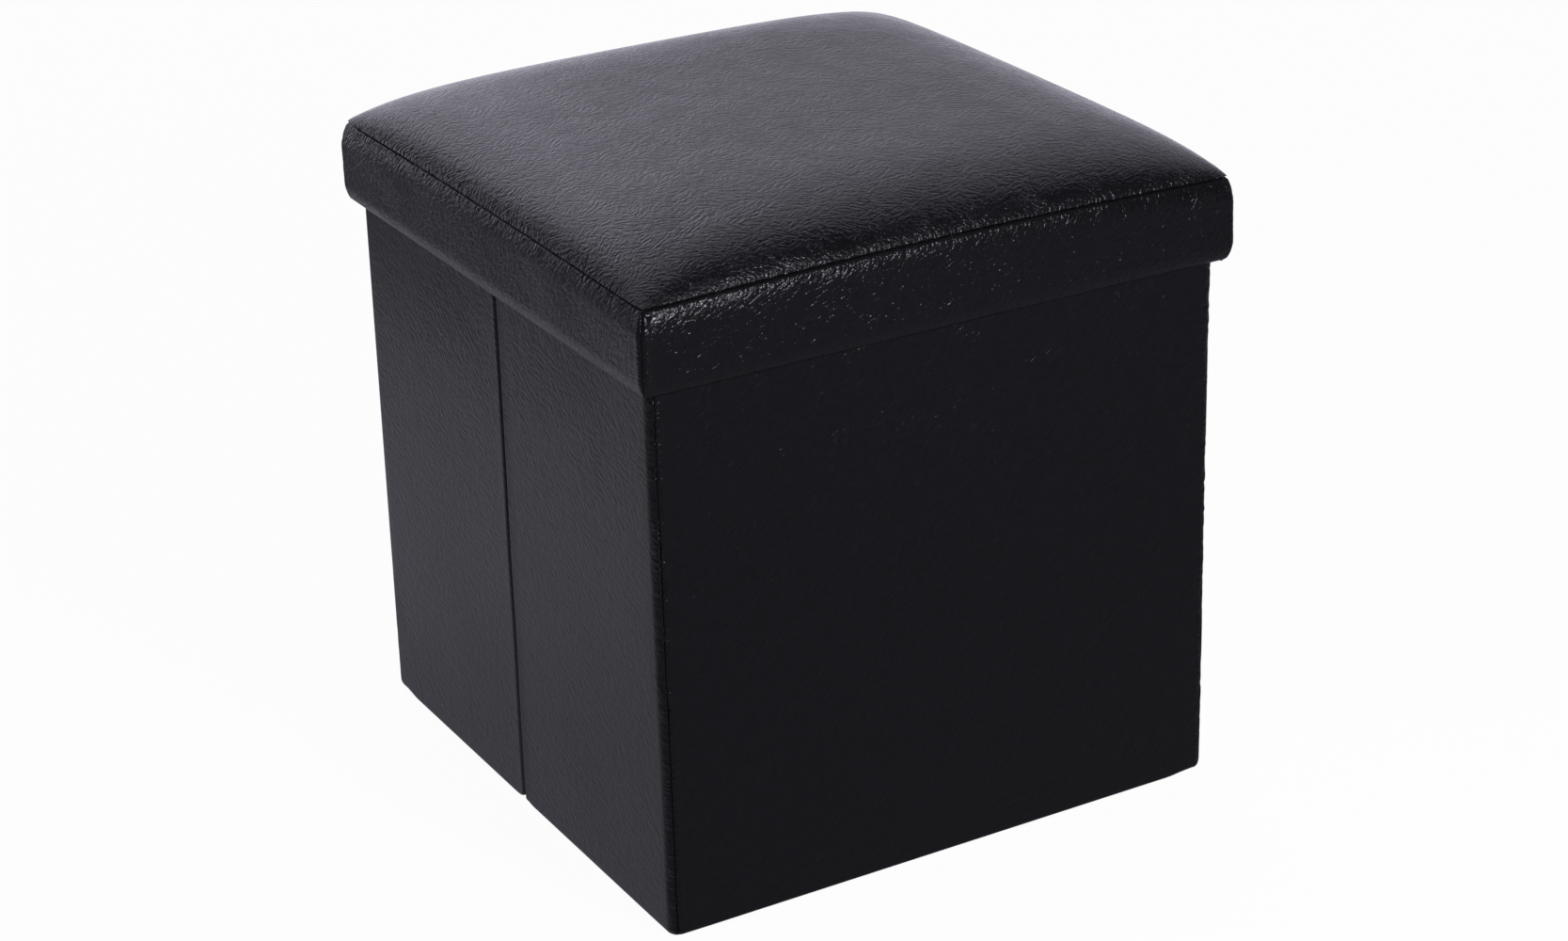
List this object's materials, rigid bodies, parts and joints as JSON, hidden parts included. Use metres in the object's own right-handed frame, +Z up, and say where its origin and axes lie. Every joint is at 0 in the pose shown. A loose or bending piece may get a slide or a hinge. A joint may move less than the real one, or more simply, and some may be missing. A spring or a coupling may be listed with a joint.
{
  "type": "storage ottoman",
  "caption": "Cube storage ottoman in black leather-look fabric: padded lift-off lid with a skirt over a box whose side walls fold inwards along a centre crease.",
  "frame": {"origin": "on the floor, under the middle of the lid", "axes": "+Z up, +X to the right of someone facing the front wall, the front wall faces -Y"},
  "size_m": [0.38, 0.38, 0.401],
  "materials": {
    "black_leather": "satin",
    "lining": "matte",
    "fibreboard": "matte",
    "foam": "matte",
    "ribbon": "matte"
  },
  "bodies": {
    "back_wall": {"back_board": "fibreboard", "back_leather": "black_leather", "back_lining": "lining", "back_hem": "black_leather", "back_left_corner_leather": "black_leather", "back_right_corner_leather": "black_leather", "base_hinge_tape": "lining", "bottom_sheet": "lining"},
    "left_rear": {"left_rear_board": "fibreboard", "left_rear_leather": "black_leather", "left_rear_lining": "lining", "left_rear_hem": "black_leather"},
    "left_front": {"left_front_board": "fibreboard", "left_front_leather": "black_leather", "left_front_lining": "lining", "left_front_hem": "black_leather"},
    "right_rear": {"right_rear_board": "fibreboard", "right_rear_leather": "black_leather", "right_rear_lining": "lining", "right_rear_hem": "black_leather"},
    "right_front": {"right_front_board": "fibreboard", "right_front_leather": "black_leather", "right_front_lining": "lining", "right_front_hem": "black_leather"},
    "front_wall": {"front_board": "fibreboard", "front_leather": "black_leather", "front_lining": "lining", "front_hem": "black_leather", "front_left_corner_leather": "black_leather", "front_right_corner_leather": "black_leather"},
    "lid": {"lid_board": "fibreboard", "lid_lining": "lining", "lid_foam": "foam", "lid_top_leather": "black_leather", "skirt_lining": "lining", "front_skirt_board": "fibreboard", "right_skirt_board": "fibreboard", "back_skirt_board": "fibreboard", "left_skirt_board": "fibreboard", "front_skirt_leather": "black_leather", "right_skirt_leather": "black_leather", "back_skirt_leather": "black_leather", "left_skirt_leather": "black_leather"},
    "base": {"base_board": "fibreboard", "base_wrap": "lining", "base_pull_tab": "ribbon"}
  },
  "joints": [
    {"name": "box_fold", "type": "hinge", "parent": "back_wall", "child": "left_rear", "pos_m": [-0.1785, 0.1725, 0], "axis": [0, 0, -1], "range_deg": [-90, 0], "deforming": ["back_hem", "left_rear_hem", "left_front_hem", "right_rear_hem", "right_front_hem", "front_hem", "bottom_sheet", "base_pull_tab"]},
    {"name": "left_crease", "type": "hinge", "parent": "left_rear", "child": "left_front", "pos_m": [-0.18415, 0, 0], "axis": [0, 0, -1], "range_deg": [0, 180]},
    {"name": "left_front_corner", "type": "hinge", "parent": "left_front", "child": "front_wall", "pos_m": [-0.1785, -0.1725, 0], "axis": [0, 0, -1], "range_deg": [-90, 0]},
    {"name": "right_rear_corner", "type": "hinge", "parent": "back_wall", "child": "right_rear", "pos_m": [0.1785, 0.1725, 0], "axis": [0, 0, -1], "range_deg": [0, 90]},
    {"name": "right_crease", "type": "hinge", "parent": "right_rear", "child": "right_front", "pos_m": [0.18415, 0, 0], "axis": [0, 0, -1], "range_deg": [-180, 0]},
    {"name": "lid_lift", "type": "slide", "parent": "back_wall", "child": "lid", "axis": [0, 0, 1], "range_m": [0, 0.4]},
    {"name": "base_flap", "type": "hinge", "parent": "back_wall", "child": "base", "pos_m": [0, 0.176, 0.0037], "axis": [-1, 0, 0], "range_deg": [0, 90], "deforming": ["base_hinge_tape"]}
  ],
  "couplings": [
    {"joint": "left_crease", "follows": "box_fold", "ratio": -2},
    {"joint": "left_front_corner", "follows": "box_fold", "ratio": 1},
    {"joint": "right_rear_corner", "follows": "box_fold", "ratio": -1},
    {"joint": "right_crease", "follows": "box_fold", "ratio": 2}
  ]
}
